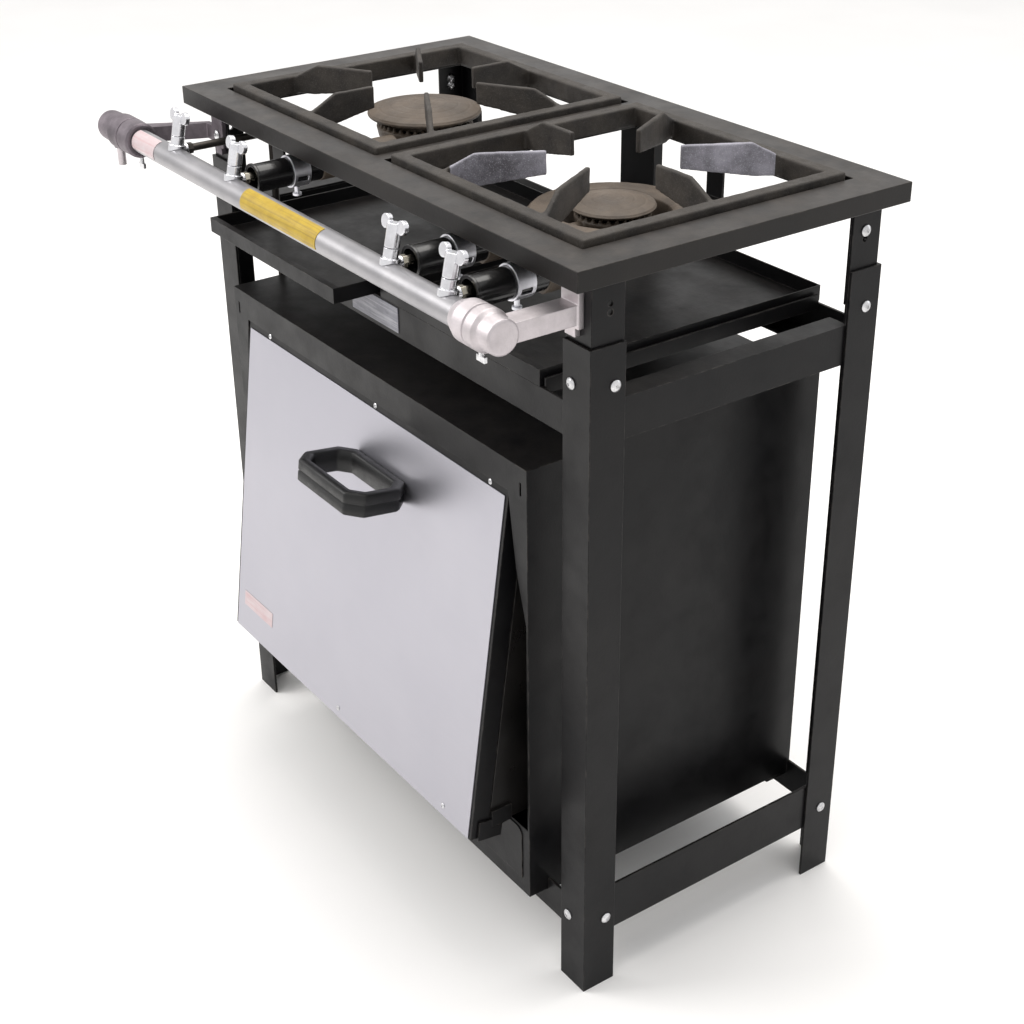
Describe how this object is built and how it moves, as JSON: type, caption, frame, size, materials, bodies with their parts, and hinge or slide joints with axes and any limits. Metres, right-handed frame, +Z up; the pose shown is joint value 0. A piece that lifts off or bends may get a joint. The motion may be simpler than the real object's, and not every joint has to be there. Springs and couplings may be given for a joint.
{
  "type": "two-burner gas range with oven",
  "caption": "Free-standing industrial gas range: cast grates over burners, butterfly taps on a front gas rail, drip trays and a drop-door oven in an angle-iron frame.",
  "frame": {"origin": "centre of the bounding box at floor level", "axes": "+X to the right seen from the front, +Y to the back, +Z up"},
  "size_m": [0.7866, 0.456, 0.803],
  "materials": {
    "black_paint": "semi-gloss black paint, slightly dusty on upward faces",
    "black_enamel": "glossy black enamel",
    "oven_enamel": "dark speckled oven enamel",
    "cast_iron": "matt grey-brown cast iron, sandy surface",
    "bare_cast": "dull sand-cast aluminium",
    "tube_aluminium": "satin drawn tube",
    "satin_steel": "satin stainless sheet",
    "chrome": "bright chrome plating",
    "brass_plated": "plated brass injector",
    "zinc": "bright zinc plating",
    "rack_wire": "chromed square wire",
    "dark_pipe": "dark steel pipe",
    "label": "blank printed plates: yellow, pink and grey",
    "black_plastic": "moulded black plastic"
  },
  "bodies": {
    "stove": {"top_frame": "black_paint", "upper_leg_front_left": "black_paint", "upper_leg_front_right": "black_paint", "upper_leg_back_left": "black_paint", "upper_leg_back_right": "black_paint", "lower_leg_front_left": "black_paint", "lower_leg_front_right": "black_paint", "lower_leg_back_left": "black_paint", "lower_leg_back_right": "black_paint", "mid_rail_front": "black_paint", "mid_rail_back": "black_paint", "mid_rail_left": "black_paint", "mid_rail_right": "black_paint", "low_rail_front": "black_paint", "low_rail_back": "black_paint", "low_rail_left": "black_paint", "low_rail_right": "black_paint", "tray_runners": "black_paint", "frame_bolts": "zinc", "name_plates": "label", "burner_supports": "black_paint", "burner_left_body": "cast_iron", "burner_right_ring": "cast_iron", "burner_right_head": "cast_iron", "venturi_left": "black_enamel", "venturi_inner": "black_enamel", "venturi_outer": "black_enamel", "manifold_tube": "tube_aluminium", "manifold_bracket": "bare_cast", "inlet_casting": "bare_cast", "gas_inlet_nipple": "bare_cast", "thumb_screws": "zinc", "valve_bodies": "chrome", "injectors": "brass_plated", "oven_feed_pipe": "dark_pipe", "oven_burner": "dark_pipe", "oven_casing": "black_paint", "oven_liner": "oven_enamel", "oven_kick_panel": "black_paint", "oven_rack": "rack_wire", "oven_flue": "black_paint", "door_hinges": "black_paint"},
    "grate_left_body": {"grate_left": "cast_iron"},
    "grate_right_body": {"grate_right": "cast_iron"},
    "cap_left_body": {"burner_left_cap": "cast_iron"},
    "cap_right_body": {"burner_right_cap": "cast_iron"},
    "ring_left_body": {"air_ring_left": "chrome"},
    "ring_inner_body": {"air_ring_inner": "chrome"},
    "ring_outer_body": {"air_ring_outer": "chrome"},
    "tap_oven_body": {"valve_handle_oven": "chrome"},
    "tap_left_body": {"valve_handle_left": "chrome"},
    "tap_inner_body": {"valve_handle_inner": "chrome"},
    "tap_outer_body": {"valve_handle_outer": "chrome"},
    "door": {"door_pan": "black_paint", "door_inner_panel": "oven_enamel", "door_skin": "satin_steel", "door_handle": "black_plastic", "door_screws": "zinc"},
    "left_tray_body": {"tray_left": "black_paint"},
    "right_tray_body": {"tray_right": "black_paint"}
  },
  "joints": [
    {"name": "grate_left_lift", "type": "slide", "parent": "stove", "child": "grate_left_body", "axis": [0, 0, 1], "range_m": [0, 0.06]},
    {"name": "grate_right_lift", "type": "slide", "parent": "stove", "child": "grate_right_body", "axis": [0, 0, 1], "range_m": [0, 0.06]},
    {"name": "cap_left_lift", "type": "slide", "parent": "stove", "child": "cap_left_body", "axis": [0, 0, 1], "range_m": [0, 0.05]},
    {"name": "cap_right_lift", "type": "slide", "parent": "stove", "child": "cap_right_body", "axis": [0, 0, 1], "range_m": [0, 0.05]},
    {"name": "air_ring_left_turn", "type": "hinge", "parent": "stove", "child": "ring_left_body", "pos_m": [-0.0973, -0.1361, 0.741], "axis": [0, 1, 0], "range_deg": [-40, 40]},
    {"name": "air_ring_inner_turn", "type": "hinge", "parent": "stove", "child": "ring_inner_body", "pos_m": [0.1977, -0.1361, 0.741], "axis": [0, 1, 0], "range_deg": [-40, 40]},
    {"name": "air_ring_outer_turn", "type": "hinge", "parent": "stove", "child": "ring_outer_body", "pos_m": [0.2887, -0.1361, 0.741], "axis": [0, 1, 0], "range_deg": [-40, 40]},
    {"name": "tap_oven_turn", "type": "hinge", "parent": "stove", "child": "tap_oven_body", "pos_m": [-0.2253, -0.2086, 0.734], "axis": [0, 0.2079, 0.9781], "range_deg": [0, 90]},
    {"name": "tap_left_turn", "type": "hinge", "parent": "stove", "child": "tap_left_body", "pos_m": [-0.0973, -0.2086, 0.734], "axis": [0, 0.2079, 0.9781], "range_deg": [0, 90]},
    {"name": "tap_inner_turn", "type": "hinge", "parent": "stove", "child": "tap_inner_body", "pos_m": [0.1977, -0.2086, 0.734], "axis": [0, 0.2079, 0.9781], "range_deg": [0, 90]},
    {"name": "tap_outer_turn", "type": "hinge", "parent": "stove", "child": "tap_outer_body", "pos_m": [0.2887, -0.2086, 0.734], "axis": [0, 0.2079, 0.9781], "range_deg": [0, 90]},
    {"name": "door_hinge", "type": "hinge", "parent": "stove", "child": "door", "pos_m": [0.0367, -0.18419, 0.16705], "axis": [1, 0, 0], "range_deg": [0, 97]},
    {"name": "left_tray_slide", "type": "slide", "parent": "stove", "child": "left_tray_body", "axis": [0, -1, 0], "range_m": [-0.047, 0.2]},
    {"name": "right_tray_slide", "type": "slide", "parent": "stove", "child": "right_tray_body", "axis": [0, -1, 0], "range_m": [0, 0.25]}
  ]
}
